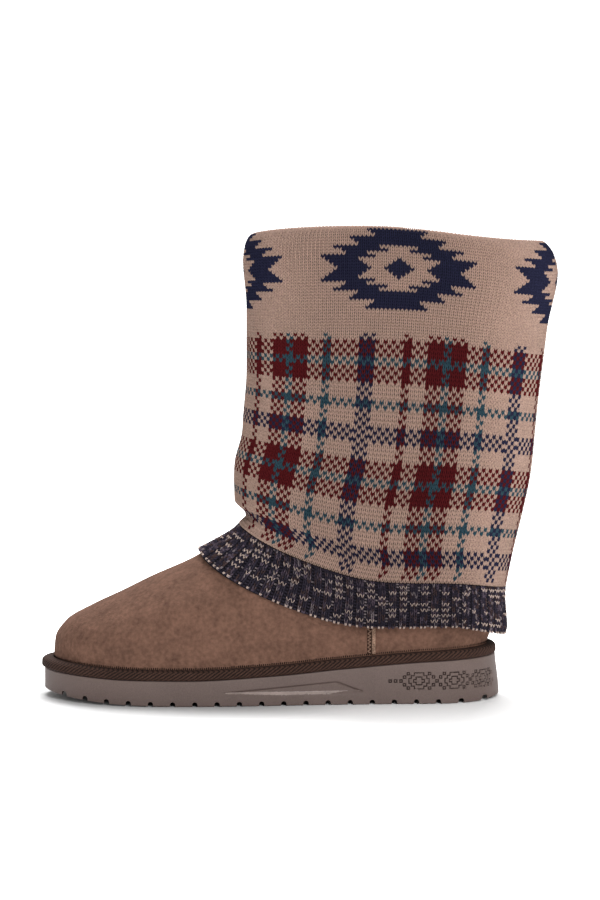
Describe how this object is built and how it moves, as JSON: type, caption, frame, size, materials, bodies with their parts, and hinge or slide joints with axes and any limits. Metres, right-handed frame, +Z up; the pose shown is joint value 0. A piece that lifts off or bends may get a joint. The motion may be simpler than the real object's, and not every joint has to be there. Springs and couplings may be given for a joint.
{
  "type": "mukluk boot",
  "caption": "Pull-on boot with a closed suede upper, a knitted sleeve turned over the collar, a ribbed band at its hem and a grooved sole.",
  "frame": {"origin": "on the floor, in the middle of the tread lug under the heel", "axes": "+X towards the toe, +Y towards the wearer's left, which is the boot's outer side, +Z up"},
  "size_m": [0.3091, 0.1094, 0.282],
  "materials": {
    "sole": "matt moulded foam",
    "binding": "woven twill tape",
    "suede": "brushed suede",
    "fleece": "short pile",
    "knit": "patterned knit",
    "rib": "marled rib knit"
  },
  "bodies": {
    "root": {"outsole": "sole", "binding": "binding", "insole": "fleece", "upper": "suede", "side_seam_lateral": "suede", "side_seam_medial": "suede", "knit_sleeve": "knit", "rib_band": "rib"}
  },
  "joints": []
}
